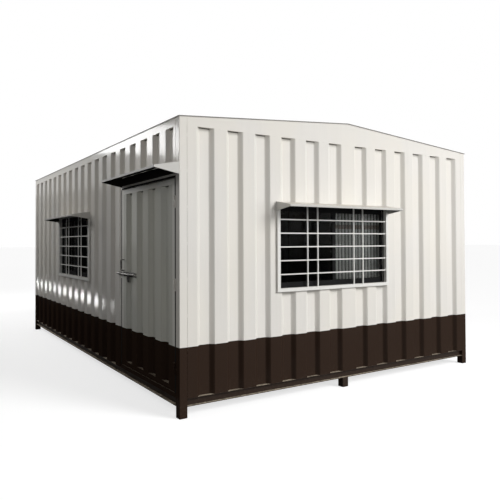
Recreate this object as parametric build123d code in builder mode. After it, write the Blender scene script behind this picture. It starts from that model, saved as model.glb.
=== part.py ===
"""A welded steel portable cabin: posts on short legs, pressed sheet walls, two barred windows and one door.

Millimetres, Z up, the ground at Z 0. The end wall with a window faces -Y, and the long wall with the door
faces -X.
Each wall is drawn as a person standing outside it sees it: distance along the wall from its left corner,
height above the ground, and depth behind the wall's outer face. The door and its fittings are measured from
the front corner, and the bolt, its guides and the pull from the leaf's closing edge.
"""
import math
import os

from build123d import *

os.makedirs("parts", exist_ok=True)

# Whole cabin
cabin_width = 4110
cabin_length = 6160
post_height = 2734
roof_rise = 159
roof_thickness = 6
roof_lip = 8

# Posts, legs and base
post_size = 80
post_corner = 6
tube_wall = 4
ground_clearance = 101
rail_height = 75
rail_flange = 40
rail_wall = 5
middle_leg_shift = -60
joist_width = 40
joist_wall = 3
joist_count = 10
floor_thickness = 18

# Pressed wall sheet
sheet_thickness = 2
rib_pitch = 318.5
rib_mouth = 176
rib_floor = 106
rib_depth = 38
end_seam_extra = 63
end_rib_count = 12
side_rib_count = 19

# Beams under the roof, inner boards
beam_height = 78
gable_plate = 6
lining_thickness = 12
ceiling_thickness = 12

# Windows
window_width = 1512
window_height = 839
window_sill = 1118
window_flange = 36
window_flange_proud = 22
window_sleeve_wall = 4
end_window_centre = 1866
side_window_from_front = 3522
bar_size = 12
bar_row_count = 5
bar_pair_centre = 327.5
bar_pair_spacing = 137
sash_stile = 34
sash_rail = 50
sash_thickness = 15
sash_gap = 2
sash_depth = 28
sash_overlap = 17
glass_thickness = 5

# Curtain behind the right-hand sash of the end window
curtain_depth = 36
curtain_behind_board = 45
curtain_past_window = 56
curtain_right_of_middle = 46
curtain_below_sill = 70
curtain_rail_width = 22
curtain_rail_height = 16
curtain_rail_above_window = 80
curtain_rail_past_window = 90
curtain_bracket_width = 20

# Canopies
canopy_reach = 240
canopy_sheet = 2
canopy_lip = 21
window_canopy_fall = 40
window_canopy_plate = 97
door_canopy_fall = 45
door_canopy_plate = 112
door_canopy_short_of_frame = 52
door_canopy_above_head = 98

# Door
door_width = 1398
door_height = 1952
door_gap = 6
near_jamb = 12
far_jamb = 40
door_head = 40
door_sill = 42
leaf_thickness = 45
leaf_rail = 50
leaf_skin = 2
leaf_rib_count = 4
stop_width = 12
stop_clearance = 5

# Hinges
hinge_radius = 7
hinge_pin_radius = 4
hinge_play = 0.3
hinge_length = 100
hinge_plate = 3
hinge_plate_width = 38
hinge_stand_off = 8
hinge_count = 3
hinge_end_distance = 215

# Sliding bolt, its keeper and the pull handle
bolt_height = 1240
bolt_radius = 8
bolt_play = 0.5
bolt_stand_off = 22
bolt_tail = 48
bolt_travel = 110
bolt_drawn_clear = 15
bolt_plate_thickness = 4
bolt_plate_height = 50
guide_width = 24
guide_wall = 6
outer_guide_from_edge = 66
guide_spacing = 352
hasp_from_outer_guide = 185
hasp_width = 70
hasp_drop = 82
hasp_thickness = 5
keeper_width = 26
keeper_wall = 6
keeper_play = 5
pull_height = 1338
pull_length = 120
pull_reach = 40
pull_radius = 6

# Places that follow from the sizes above
roof_slope = roof_rise / (cabin_width / 2)
left = -(cabin_width + canopy_reach + roof_lip) / 2 + canopy_reach
right = left + cabin_width
front = -(cabin_length + canopy_reach + roof_lip) / 2 + canopy_reach
back = front + cabin_length
sheet_low = ground_clearance + rail_height
beam_low = post_height - beam_height
lining_depth = post_size - lining_thickness
mouth_half = rib_mouth / 2
floor_half = rib_floor / 2

door_start = post_size + near_jamb + door_gap
door_end = door_start + door_width
frame_end = door_end + door_gap + far_jamb
leaf_low = sheet_low + door_sill + door_gap
leaf_high = leaf_low + door_height
head_low = leaf_high + door_gap
head_high = head_low + door_head


def wall_face(corner_x, corner_y, run):
    """The wall's outer face, drawn on with distance along the wall and height. Its normal points out."""
    return Plane(origin=(corner_x, corner_y, 0), x_dir=run, z_dir=Vector(*run).cross(Vector(0, 0, 1)))


def wall_plan(face, height):
    """A level plane at a height, drawn on with distance along the wall and depth behind its face."""
    return Plane(origin=face.origin + Vector(0, 0, height), x_dir=face.x_dir, z_dir=(0, 0, 1))


def wall_section(face, place):
    """An upright plane across the wall, drawn on with depth behind the face and height."""
    return Plane(origin=face.origin + face.x_dir * place, x_dir=-face.z_dir, z_dir=face.x_dir)


front_face = wall_face(left, front, (1, 0, 0))
right_face = wall_face(right, front, (0, 1, 0))
back_face = wall_face(right, back, (-1, 0, 0))
left_face = wall_face(left, back, (0, -1, 0))


def from_front(place):
    """A place on the door wall measured from the front corner, as distance along that wall."""
    return cabin_length - place


def keep(piece, name):
    """Labels a finished piece and writes its file."""
    piece.part.label = name
    export_step(piece.part, f"parts/{name}.step")


def rectangle_between(x_low, x_high, y_low, y_high, mode=Mode.ADD):
    """A rectangle in the open sketch, from its two corners."""
    with Locations(((x_low + x_high) / 2, (y_low + y_high) / 2)):
        Rectangle(x_high - x_low, y_high - y_low, mode=mode)


def board(plane, spans, thickness):
    """A flat board: rectangles on a plane, given as (x low, x high, y low, y high), made this thick."""
    with BuildPart() as piece:
        with BuildSketch(plane):
            for span in spans:
                rectangle_between(*span)
        extrude(amount=thickness)
    return piece


def rib_centres(middle, count, extra=0):
    """Where the pressed ribs lie along a wall, evenly about its middle, with that flat wider by extra."""
    places = []
    for number in range(count):
        offset = (number - (count - 1) / 2) * rib_pitch
        places.append(middle + offset + math.copysign(extra / 2, offset))
    return places


def press_depth(place, centres):
    """How far the pressed sheet lies behind the wall's face at one place along it."""
    nearest = min(abs(place - centre) for centre in centres)
    share = (mouth_half - nearest) / (mouth_half - floor_half)
    return rib_depth * min(max(share, 0), 1)


def press_outline(start, end, centres):
    """The outline of a pressed sheet seen from above: its outer line, then its inner line back again."""
    bends = [start, end]
    for centre in centres:
        for offset in (-mouth_half, -floor_half, floor_half, mouth_half):
            if start < centre + offset < end:
                bends.append(centre + offset)
    outer = [(place, press_depth(place, centres)) for place in sorted(bends)]
    inner = [(place, depth + sheet_thickness) for place, depth in reversed(outer)]
    return outer + inner


def pressed_sheet(face, pieces, centres):
    """Pressed wall sheets with upright ribs. Each piece is its start, its end, its low and its high edge."""
    with BuildPart() as sheet:
        for start, end, low, high in pieces:
            with BuildSketch(wall_plan(face, low)):
                with BuildLine():
                    Polyline(press_outline(start, end, centres), close=True)
                make_face()
            extrude(amount=high - low)
    return sheet


def square_tubes(middles, length):
    """Upright square tubes with rolled corners, standing on the ground about these places."""
    with BuildPart() as tubes:
        with BuildSketch():
            with Locations(*middles):
                RectangleRounded(post_size, post_size, post_corner)
                RectangleRounded(
                    post_size - 2 * tube_wall,
                    post_size - 2 * tube_wall,
                    post_corner - tube_wall,
                    mode=Mode.SUBTRACT,
                )
        extrude(amount=length)
    return tubes


# Corner posts: square tubes from the ground to the roof
post_half = post_size / 2
post_middles = {
    "front_left_post": (left + post_half, front + post_half),
    "front_right_post": (right - post_half, front + post_half),
    "back_left_post": (left + post_half, back - post_half),
    "back_right_post": (right - post_half, back - post_half),
}
for post_name, post_middle in post_middles.items():
    keep(square_tubes([post_middle], post_height), post_name)

# Middle legs: short tubes under the two end rails
leg_x = (left + right) / 2 + middle_leg_shift
leg_middles = [(leg_x, front + post_half), (leg_x, back - post_half)]
keep(square_tubes(leg_middles, ground_clearance), "middle_legs")


def base_rails(walls):
    """Channels laid with their open side outwards, each from post to post along its wall."""
    with BuildPart() as rails:
        for face, length in walls:
            with BuildSketch(wall_section(face, post_size)):
                rectangle_between(0, rail_flange, ground_clearance, sheet_low)
                rectangle_between(
                    0,
                    rail_flange - rail_wall,
                    ground_clearance + rail_wall,
                    sheet_low - rail_wall,
                    mode=Mode.SUBTRACT,
                )
            extrude(amount=length - 2 * post_size)
    return rails


keep(base_rails([(front_face, cabin_width), (back_face, cabin_width)]), "end_base_rails")
keep(base_rails([(left_face, cabin_length), (right_face, cabin_length)]), "side_base_rails")

# Floor joists: tubes across the cabin between the side rails
joist_length = cabin_width - 2 * rail_flange
joist_step = (cabin_length - 2 * post_size - joist_width) / (joist_count - 1)
with BuildPart() as floor_joists:
    with BuildSketch(Plane.YZ.offset(left + rail_flange)):
        for number in range(joist_count):
            joist_y = front + post_size + number * joist_step
            rectangle_between(joist_y, joist_y + joist_width, ground_clearance, sheet_low)
            rectangle_between(
                joist_y + joist_wall,
                joist_y + joist_width - joist_wall,
                ground_clearance + joist_wall,
                sheet_low - joist_wall,
                mode=Mode.SUBTRACT,
            )
    extrude(amount=joist_length)
keep(floor_joists, "floor_joists")

# Floor board and ceiling board, inside the wall boards
room = (left + post_size, right - post_size, front + post_size, back - post_size)
keep(board(Plane.XY.offset(sheet_low), [room], floor_thickness), "floor_board")
keep(board(Plane.XY.offset(beam_low - ceiling_thickness), [room], ceiling_thickness), "ceiling_board")

# Eave beams: tubes along the tops of the long walls
with BuildPart() as eave_beams:
    for beam_x in (left, right - post_size):
        with BuildSketch(Plane.XZ.offset(-(front + post_size))):
            rectangle_between(beam_x, beam_x + post_size, beam_low, post_height)
            rectangle_between(
                beam_x + tube_wall,
                beam_x + post_size - tube_wall,
                beam_low + tube_wall,
                post_height - tube_wall,
                mode=Mode.SUBTRACT,
            )
        extrude(amount=-(cabin_length - 2 * post_size))
keep(eave_beams, "eave_beams")

# Gable beams: a plain plate up to the roof over each end wall, with a tube behind it
gable_outline = [
    (post_size, beam_low),
    (cabin_width - post_size, beam_low),
    (cabin_width - post_size, post_height),
    (cabin_width, post_height),
    (cabin_width / 2, post_height + roof_rise),
    (0, post_height),
    (post_size, post_height),
]
with BuildPart() as gable_beams:
    for face in (front_face, back_face):
        with BuildSketch(face):
            with BuildLine():
                Polyline(gable_outline, close=True)
            make_face()
        extrude(amount=-gable_plate)
        with BuildSketch(wall_section(face, post_size)):
            rectangle_between(gable_plate, post_size, beam_low, post_height)
            rectangle_between(
                gable_plate,
                post_size - tube_wall,
                beam_low + tube_wall,
                post_height - tube_wall,
                mode=Mode.SUBTRACT,
            )
        extrude(amount=cabin_width - 2 * post_size)
keep(gable_beams, "gable_beams")

# Roof sheets: one slope each, meeting along the ridge and lying past the walls by a small lip
gable_end = Plane(origin=((left + right) / 2, front - roof_lip, 0), x_dir=(1, 0, 0), z_dir=(0, -1, 0))
ridge_height = post_height + roof_rise
for roof_name, side in (("left_roof_sheet", -1), ("right_roof_sheet", 1)):
    eave_reach = side * (cabin_width / 2 + roof_lip)
    eave_height = post_height - roof_lip * roof_slope
    with BuildPart() as roof_sheet:
        with BuildSketch(gable_end):
            with BuildLine():
                Polyline(
                    (eave_reach, eave_height),
                    (0, ridge_height),
                    (0, ridge_height + roof_thickness),
                    (eave_reach, eave_height + roof_thickness),
                    close=True,
                )
            make_face()
        extrude(amount=-(cabin_length + 2 * roof_lip))
    keep(roof_sheet, roof_name)

# Where each window lies along its wall, measured on the wall's own face
side_window_centre = from_front(side_window_from_front)
window_cut = window_width / 2 + window_sleeve_wall
window_cut_low = window_sill - window_sleeve_wall
window_cut_high = window_sill + window_height + window_sleeve_wall

# End wall sheets, split beside, over and under the window
end_ribs = rib_centres(cabin_width / 2, end_rib_count, end_seam_extra)
cut_start = end_window_centre - window_cut
cut_end = end_window_centre + window_cut
keep(pressed_sheet(front_face, [(post_size, cut_start, sheet_low, beam_low)], end_ribs), "end_sheet_left")
keep(
    pressed_sheet(front_face, [(cut_end, cabin_width - post_size, sheet_low, beam_low)], end_ribs),
    "end_sheet_right",
)
end_infill = [
    (cut_start, cut_end, sheet_low, window_cut_low),
    (cut_start, cut_end, window_cut_high, beam_low),
]
keep(pressed_sheet(front_face, end_infill, end_ribs), "end_sheet_at_window")

# Door wall sheets: over the door, between the door and the window, at the window, and on to the back corner
long_ribs = rib_centres(cabin_length / 2, side_rib_count)
side_cut_start = side_window_centre - window_cut
side_cut_end = side_window_centre + window_cut
keep(
    pressed_sheet(left_face, [(post_size, side_cut_start, sheet_low, beam_low)], long_ribs),
    "door_wall_sheet_back",
)
side_infill = [
    (side_cut_start, side_cut_end, sheet_low, window_cut_low),
    (side_cut_start, side_cut_end, window_cut_high, beam_low),
]
keep(pressed_sheet(left_face, side_infill, long_ribs), "door_wall_sheet_at_window")
keep(
    pressed_sheet(left_face, [(side_cut_end, from_front(frame_end), sheet_low, beam_low)], long_ribs),
    "door_wall_sheet_middle",
)
keep(
    pressed_sheet(
        left_face, [(from_front(frame_end), from_front(post_size), head_high, beam_low)], long_ribs
    ),
    "door_wall_sheet_over_door",
)

# The two plain walls
keep(
    pressed_sheet(right_face, [(post_size, cabin_length - post_size, sheet_low, beam_low)], long_ribs),
    "right_wall_sheet",
)
keep(
    pressed_sheet(back_face, [(post_size, cabin_width - post_size, sheet_low, beam_low)], end_ribs),
    "back_wall_sheet",
)


def lining(face, length, openings):
    """The board inside a wall, flush with the posts' inner sides, with its openings cut out."""
    with BuildPart() as wall_board:
        with BuildSketch(face.offset(-lining_depth)):
            rectangle_between(post_size, length - post_size, sheet_low, beam_low)
            for opening in openings:
                rectangle_between(*opening, mode=Mode.SUBTRACT)
        extrude(amount=-lining_thickness)
    return wall_board


end_window_hole = (cut_start, cut_end, window_cut_low, window_cut_high)
side_window_hole = (side_cut_start, side_cut_end, window_cut_low, window_cut_high)
door_hole = (from_front(frame_end), from_front(post_size), sheet_low, head_high)
keep(lining(front_face, cabin_width, [end_window_hole]), "end_wall_lining")
keep(lining(left_face, cabin_length, [side_window_hole, door_hole]), "door_wall_lining")
keep(lining(right_face, cabin_length, []), "right_wall_lining")
keep(lining(back_face, cabin_width, []), "back_wall_lining")


def window_frame(face, centre):
    """A flat outer flange standing proud of the ribs, welded to a sleeve through the wall."""
    middle = window_sill + window_height / 2
    with BuildPart() as frame:
        with BuildSketch(face):
            with Locations((centre, middle)):
                Rectangle(window_width + 2 * window_flange, window_height + 2 * window_flange)
                Rectangle(window_width, window_height, mode=Mode.SUBTRACT)
        extrude(amount=window_flange_proud)
        with BuildSketch(face):
            with Locations((centre, middle)):
                Rectangle(window_width + 2 * window_sleeve_wall, window_height + 2 * window_sleeve_wall)
                Rectangle(window_width, window_height, mode=Mode.SUBTRACT)
        extrude(amount=-post_size)
    return frame


def window_grille(face, centre):
    """Level bars crossed by two pairs of upright bars, welded together where they cross."""
    middle = window_sill + window_height / 2
    row_spacing = window_height / (bar_row_count + 1)
    with BuildPart() as grille:
        with BuildSketch(face):
            with Locations((centre, middle)):
                with GridLocations(0, row_spacing, 1, bar_row_count):
                    Rectangle(window_width, bar_size)
                for pair in (-bar_pair_centre, bar_pair_centre):
                    with Locations((pair, 0)):
                        with GridLocations(bar_pair_spacing, 0, 2, 1):
                            Rectangle(bar_size, window_height)
        extrude(amount=bar_size)
    return grille


def pane_edges(start, end):
    """The opening inside a sash that its pane fills, between its stiles and its rails."""
    high = window_sill + window_height
    return (start + sash_stile, end - sash_stile, window_sill + sash_rail, high - sash_rail)


def sash_spans(centre):
    """Each sliding sash as its start, its end and its depth; the two overlap behind the middle stile."""
    start = centre - window_width / 2
    end = centre + window_width / 2
    second_depth = sash_depth + sash_thickness + sash_gap
    return [
        (start, centre + sash_overlap, sash_depth),
        (centre - sash_overlap, end, second_depth),
    ]


def window_sashes(face, centre):
    """Two framed sashes, one behind the other, that fill the sleeve."""
    high = window_sill + window_height
    with BuildPart() as sashes:
        for start, end, depth in sash_spans(centre):
            with BuildSketch(face.offset(-depth)):
                rectangle_between(start, end, window_sill, high)
                rectangle_between(*pane_edges(start, end), mode=Mode.SUBTRACT)
            extrude(amount=-sash_thickness)
    return sashes


def window_glass(face, centre):
    """One pane in each sash, in the middle of the sash's thickness."""
    with BuildPart() as panes:
        for start, end, depth in sash_spans(centre):
            with BuildSketch(face.offset(-(depth + (sash_thickness - glass_thickness) / 2))):
                rectangle_between(*pane_edges(start, end))
            extrude(amount=-glass_thickness)
    return panes


def canopy(face, start, end, top, fall, plate):
    """A folded hood: a top sheet that falls away from the wall, a lip in front and a plate at each end."""
    lip_top = top - fall
    lip_low = lip_top - canopy_lip
    outline = [(0, top), (-canopy_reach, lip_top), (-canopy_reach, lip_low), (0, top - plate)]
    under_reach = canopy_reach - canopy_sheet
    under_fall = fall * under_reach / canopy_reach
    below = top - 2 * plate
    hollow = [
        (0, top - canopy_sheet),
        (-under_reach, top - canopy_sheet - under_fall),
        (-under_reach, below),
        (0, below),
    ]
    with BuildPart() as hood:
        with BuildSketch(wall_section(face, start)):
            with BuildLine():
                Polyline(outline, close=True)
            make_face()
        extrude(amount=end - start)
        with BuildSketch(wall_section(face, start + canopy_sheet)):
            with BuildLine():
                Polyline(hollow, close=True)
            make_face()
        extrude(amount=end - start - 2 * canopy_sheet, mode=Mode.SUBTRACT)
    return hood


canopy_half = window_width / 2 + window_flange + canopy_sheet
window_canopy_top = window_sill + window_height + window_flange + canopy_sheet
window_canopy_top += window_canopy_fall * window_flange_proud / canopy_reach
for window_name, face, centre in (
    ("end_window", front_face, end_window_centre),
    ("side_window", left_face, side_window_centre),
):
    keep(window_frame(face, centre), f"{window_name}_frame")
    keep(window_grille(face, centre), f"{window_name}_grille")
    keep(window_sashes(face, centre), f"{window_name}_sashes")
    keep(window_glass(face, centre), f"{window_name}_glass")
    hood = canopy(
        face,
        centre - canopy_half,
        centre + canopy_half,
        window_canopy_top,
        window_canopy_fall,
        window_canopy_plate,
    )
    keep(hood, f"{window_name}_canopy")

door_canopy = canopy(
    left_face,
    from_front(frame_end - door_canopy_short_of_frame),
    from_front(0),
    head_high + door_canopy_above_head,
    door_canopy_fall,
    door_canopy_plate,
)
keep(door_canopy, "door_canopy")

# Curtain rail: a track on two brackets over the end window, fixed to the board inside
window_head = window_sill + window_height
rail_front = post_size + curtain_behind_board + (curtain_depth - curtain_rail_width) / 2
rail_low = window_head + curtain_rail_above_window
rail_start = end_window_centre - window_width / 2 - curtain_rail_past_window
rail_end = end_window_centre + window_width / 2 + curtain_rail_past_window
with BuildPart() as curtain_rail:
    with BuildSketch(front_face.offset(-rail_front)):
        rectangle_between(rail_start, rail_end, rail_low, rail_low + curtain_rail_height)
    extrude(amount=-curtain_rail_width)
    with BuildSketch(front_face.offset(-post_size)):
        for bracket_start in (rail_start, rail_end - curtain_bracket_width):
            bracket_end = bracket_start + curtain_bracket_width
            rectangle_between(bracket_start, bracket_end, rail_low, rail_low + curtain_rail_height)
    extrude(amount=-(rail_front - post_size))
keep(curtain_rail, "end_curtain_rail")

# Curtain: the space that the gathered cloth hangs in, under the rail
curtain_span = (
    end_window_centre + curtain_right_of_middle,
    end_window_centre + window_width / 2 + curtain_past_window,
    window_sill - curtain_below_sill,
    rail_low,
)
curtain_plane = front_face.offset(-(post_size + curtain_behind_board))
keep(board(curtain_plane, [curtain_span], -curtain_depth), "end_curtain")

# Door frame: a welded ring through the wall, narrower behind the leaf to make the stop
stop_depth = leaf_thickness + stop_clearance
clear_span = (
    from_front(door_end + door_gap),
    from_front(door_start - door_gap),
    leaf_low - door_gap,
    head_low,
)
with BuildPart() as door_frame:
    with BuildSketch(left_face):
        rectangle_between(from_front(frame_end), from_front(post_size), sheet_low, head_high)
        rectangle_between(*clear_span, mode=Mode.SUBTRACT)
    extrude(amount=-post_size)
    with BuildSketch(left_face.offset(-stop_depth)):
        rectangle_between(*clear_span)
        rectangle_between(
            clear_span[0] + stop_width,
            clear_span[1] - stop_width,
            clear_span[2],
            clear_span[3] - stop_width,
            mode=Mode.SUBTRACT,
        )
    extrude(amount=-(post_size - stop_depth))
keep(door_frame, "door_frame")

# Door leaf: a flat frame with a flat sheet behind
leaf_span = (from_front(door_end), from_front(door_start), leaf_low, leaf_high)
with BuildPart() as door_leaf_frame:
    with BuildSketch(left_face):
        rectangle_between(*leaf_span)
        rectangle_between(
            leaf_span[0] + leaf_rail,
            leaf_span[1] - leaf_rail,
            leaf_low + leaf_rail,
            leaf_high - leaf_rail,
            mode=Mode.SUBTRACT,
        )
    extrude(amount=-leaf_thickness)
    with BuildSketch(left_face.offset(-(leaf_thickness - leaf_skin))):
        rectangle_between(*leaf_span)
    extrude(amount=-leaf_skin)
keep(door_leaf_frame, "door_leaf_frame")

# Door leaf sheet: the same pressing as the walls, let into the leaf's frame
leaf_rib_centres = rib_centres((leaf_span[0] + leaf_span[1]) / 2, leaf_rib_count)
leaf_piece = (
    leaf_span[0] + leaf_rail,
    leaf_span[1] - leaf_rail,
    leaf_low + leaf_rail,
    leaf_high - leaf_rail,
)
keep(pressed_sheet(left_face, [leaf_piece], leaf_rib_centres), "door_leaf_sheet")

# Hinges: knuckles round an upright pin in front of the gap beside the front corner post
hinge_place = from_front(door_start - door_gap / 2)
hinge_spacing = (leaf_high - leaf_low - 2 * hinge_end_distance) / (hinge_count - 1)
hinge_heights = [leaf_low + hinge_end_distance + number * hinge_spacing for number in range(hinge_count)]
knuckle_length = hinge_length / 2 - hinge_play

with BuildPart() as door_hinge_pins:
    for height in hinge_heights:
        with BuildSketch(wall_plan(left_face, height - hinge_length / 2)):
            with Locations((hinge_place, -hinge_stand_off)):
                Circle(hinge_radius)
            rectangle_between(
                hinge_place + hinge_pin_radius, hinge_place + hinge_plate_width, -hinge_plate, 0
            )
        extrude(amount=knuckle_length)
        with BuildSketch(wall_plan(left_face, height - hinge_length / 2)):
            with Locations((hinge_place, -hinge_stand_off)):
                Circle(hinge_pin_radius)
        extrude(amount=hinge_length)
keep(door_hinge_pins, "door_hinge_pins")

with BuildPart() as door_hinge_leaves:
    for height in hinge_heights:
        with BuildSketch(wall_plan(left_face, height + hinge_play)):
            with Locations((hinge_place, -hinge_stand_off)):
                Circle(hinge_radius)
            rectangle_between(
                hinge_place - hinge_plate_width, hinge_place - hinge_pin_radius, -hinge_plate, 0
            )
            with Locations((hinge_place, -hinge_stand_off)):
                Circle(hinge_pin_radius + hinge_play, mode=Mode.SUBTRACT)
        extrude(amount=knuckle_length)
keep(door_hinge_leaves, "door_hinge_leaves")

# Sliding bolt: a plate on the leaf with two guides, and a round bar with a hasp that slides in them
bar_plane = -bolt_stand_off
outer_guide = door_end - outer_guide_from_edge
inner_guide = outer_guide - guide_spacing
plate_end = outer_guide + guide_width / 2
plate_start = inner_guide - guide_width / 2
guide_reach = bolt_stand_off + bolt_radius + bolt_play + guide_wall
guide_half = bolt_radius + bolt_play + guide_wall
with BuildPart() as door_bolt_plate:
    with BuildSketch(left_face):
        rectangle_between(
            from_front(plate_end),
            from_front(plate_start),
            bolt_height - bolt_plate_height / 2,
            bolt_height + bolt_plate_height / 2,
        )
    extrude(amount=bolt_plate_thickness)
    for guide in (inner_guide, outer_guide):
        with BuildSketch(wall_section(left_face, from_front(guide) - guide_width / 2)):
            with Locations((bar_plane, bolt_height)):
                Circle(guide_half)
            rectangle_between(
                bar_plane, -bolt_plate_thickness, bolt_height - guide_half, bolt_height + guide_half
            )
            with Locations((bar_plane, bolt_height)):
                Circle(bolt_radius + bolt_play, mode=Mode.SUBTRACT)
        extrude(amount=guide_width)
keep(door_bolt_plate, "door_bolt_plate")

keeper_place = door_end + door_gap + far_jamb / 2
bolt_drawn_end = keeper_place - keeper_width / 2 - bolt_drawn_clear
bolt_outer_end = bolt_drawn_end + bolt_travel
with BuildPart() as door_bolt_bar:
    with BuildSketch(wall_section(left_face, from_front(bolt_outer_end))):
        with Locations((bar_plane, bolt_height)):
            Circle(bolt_radius)
    extrude(amount=bolt_outer_end - (inner_guide - bolt_tail))
    with BuildSketch(left_face.offset(bolt_stand_off - hasp_thickness / 2)):
        with Locations((from_front(outer_guide - hasp_from_outer_guide), bolt_height - hasp_drop / 2)):
            RectangleRounded(hasp_width, hasp_drop, hasp_width / 4)
    extrude(amount=hasp_thickness)
keep(door_bolt_bar, "door_bolt_bar")

# Keeper: two prongs on the far jamb, open outwards so that the bar also leaves it with the door
keeper_gap = bolt_radius + keeper_play
keeper_reach = bolt_stand_off + bolt_radius
with BuildPart() as door_bolt_keeper:
    with BuildSketch(wall_section(left_face, from_front(keeper_place + keeper_width / 2))):
        for side in (-1, 1):
            with Locations((-keeper_reach / 2, bolt_height + side * (keeper_gap + keeper_wall / 2))):
                Rectangle(keeper_reach, keeper_wall)
        rectangle_between(
            -keeper_wall / 2,
            0,
            bolt_height - keeper_gap - keeper_wall,
            bolt_height + keeper_gap + keeper_wall,
        )
    extrude(amount=keeper_width)
keep(door_bolt_keeper, "door_bolt_keeper")

# Pull handle: a bent rod on the leaf above the bolt
pull_place = from_front(outer_guide)
pull_half = pull_length / 2
with BuildPart() as door_pull:
    with BuildLine(wall_section(left_face, pull_place)) as pull_line:
        FilletPolyline(
            (0, pull_height - pull_half),
            (-pull_reach, pull_height - pull_half),
            (-pull_reach, pull_height + pull_half),
            (0, pull_height + pull_half),
            radius=3 * pull_radius,
        )
    with BuildSketch(left_face):
        with Locations((pull_place, pull_height - pull_half)):
            Circle(pull_radius)
    sweep(path=pull_line.line)
keep(door_pull, "door_pull")
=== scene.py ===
"""The looks of a welded steel portable cabin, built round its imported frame. Metres, Z up, ground at Z 0."""
import math

import bmesh
import bpy
from mathutils import Matrix, Vector


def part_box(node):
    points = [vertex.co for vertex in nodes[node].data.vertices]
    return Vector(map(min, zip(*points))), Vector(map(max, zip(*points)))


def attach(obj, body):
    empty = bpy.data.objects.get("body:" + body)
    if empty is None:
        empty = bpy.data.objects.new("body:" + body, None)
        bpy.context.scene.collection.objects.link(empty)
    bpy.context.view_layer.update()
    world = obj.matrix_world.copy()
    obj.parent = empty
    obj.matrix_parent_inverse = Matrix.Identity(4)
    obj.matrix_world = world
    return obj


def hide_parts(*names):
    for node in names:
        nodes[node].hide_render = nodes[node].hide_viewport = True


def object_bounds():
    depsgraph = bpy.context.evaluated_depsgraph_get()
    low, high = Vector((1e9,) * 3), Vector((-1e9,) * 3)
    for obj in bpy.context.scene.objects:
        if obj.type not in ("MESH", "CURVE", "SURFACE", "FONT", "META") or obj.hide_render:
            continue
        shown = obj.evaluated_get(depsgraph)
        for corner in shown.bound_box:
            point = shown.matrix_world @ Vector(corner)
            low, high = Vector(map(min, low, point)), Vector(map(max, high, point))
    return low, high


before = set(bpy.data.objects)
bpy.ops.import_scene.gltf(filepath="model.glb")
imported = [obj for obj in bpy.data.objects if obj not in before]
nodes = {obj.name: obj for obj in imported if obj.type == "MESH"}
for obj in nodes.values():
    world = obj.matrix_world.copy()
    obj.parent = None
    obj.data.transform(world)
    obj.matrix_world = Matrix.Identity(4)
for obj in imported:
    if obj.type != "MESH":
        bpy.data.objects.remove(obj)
cad_low, cad_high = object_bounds()
bpy.ops.object.select_all(action="DESELECT")

# Camera. It stands to the left of the end wall at a person's eye height, so that the end wall is seen nearly
# square on and the door wall at a slant. The small shift is that of the cropped photograph.
camera_place = Vector((-4.055, -7.434, 1.589))
camera_turn = math.radians(33.1)
camera_tilt = math.radians(1.02)
camera_roll = math.radians(-0.24)

level_right = Vector((math.cos(camera_turn), -math.sin(camera_turn), 0))
forward = Vector((math.sin(camera_turn), math.cos(camera_turn), 0)) * math.cos(camera_tilt)
forward.z = math.sin(camera_tilt)
level_up = level_right.cross(forward)
camera_right = level_right * math.cos(camera_roll) + level_up * math.sin(camera_roll)
camera_up = level_up * math.cos(camera_roll) - level_right * math.sin(camera_roll)
camera_axes = Matrix((camera_right, camera_up, -forward)).transposed()

link = bpy.context.scene.collection.objects.link
camera_data = bpy.data.cameras.new("camera")
camera_data.sensor_width = 36
camera_data.lens = 39.168
camera_data.shift_x = -0.007
camera_data.shift_y = -0.0354
camera_data.dof.use_dof = False
camera = bpy.data.objects.new("camera", camera_data)
link(camera)
camera.matrix_world = Matrix.Translation(camera_place) @ camera_axes.to_4x4()
bpy.context.scene.camera = camera

# Studio. A pale floor in a white room, with a sun at the front right and soft boxes in front, at the left and at
# the back left. Two low strips and a high one show only as gleams on the ribs of the door wall. Dark flats and a
# dark card, which the camera doesn't see, keep the rest of what that wall mirrors dark.
key_power = 2.0
key_bearing, key_height = math.radians(31), math.radians(30)
front_power = 125
left_power = 95
side_power = 98
back_power = 260
strip_power = 4.2
near_strip_power = strip_power * 0.026
crest_power = 150
honeycomb = 36
room_for_matt = 0.14
floor_glow = 0.70


def wire(tree, kind, inputs=(), **settings):
    """Adds a shader node. Each input is a value, or the output of another node to join to it."""
    made = tree.nodes.new(kind)
    for name, value in settings.items():
        setattr(made, name, value)
    for socket, value in dict(inputs).items():
        if isinstance(value, bpy.types.NodeSocket):
            tree.links.new(value, made.inputs[socket])
        else:
            made.inputs[socket].default_value = value
    return made


def new_material(name):
    """A material with no nodes."""
    material = bpy.data.materials.new(name)
    material.use_nodes = True
    material.node_tree.nodes.clear()
    return material, material.node_tree


def dress(tree, shader):
    """Makes a shader the surface of a material."""
    wire(tree, "ShaderNodeOutputMaterial", {"Surface": shader.outputs[0]})


def background_rays(tree):
    """1 for the rays that show the background: those of the camera, of gloss and of glass."""
    path = wire(tree, "ShaderNodeLightPath")
    camera_ray, gloss, glass = (path.outputs[f"Is {ray} Ray"] for ray in ("Camera", "Glossy", "Transmission"))
    either = wire(tree, "ShaderNodeMath", {0: gloss, 1: glass}, operation="MAXIMUM")
    seen = wire(tree, "ShaderNodeMath", {0: camera_ray, 1: either.outputs[0]}, operation="MAXIMUM")
    return path, seen.outputs[0]


def soft_box(name, place, aim, width, height, power, spread=180):
    """A soft box light at a place, turned towards the point it lights. Spread is the angle of its honeycomb grid."""
    data = bpy.data.lights.new(name, "AREA")
    data.shape = "RECTANGLE"
    data.size = width
    data.size_y = height
    data.spread = math.radians(spread)
    data.energy = power
    light = bpy.data.objects.new(name, data)
    link(light)
    light.location = place
    light.rotation_euler = (Vector(aim) - Vector(place)).to_track_quat("-Z", "Y").to_euler()
    return light


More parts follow.
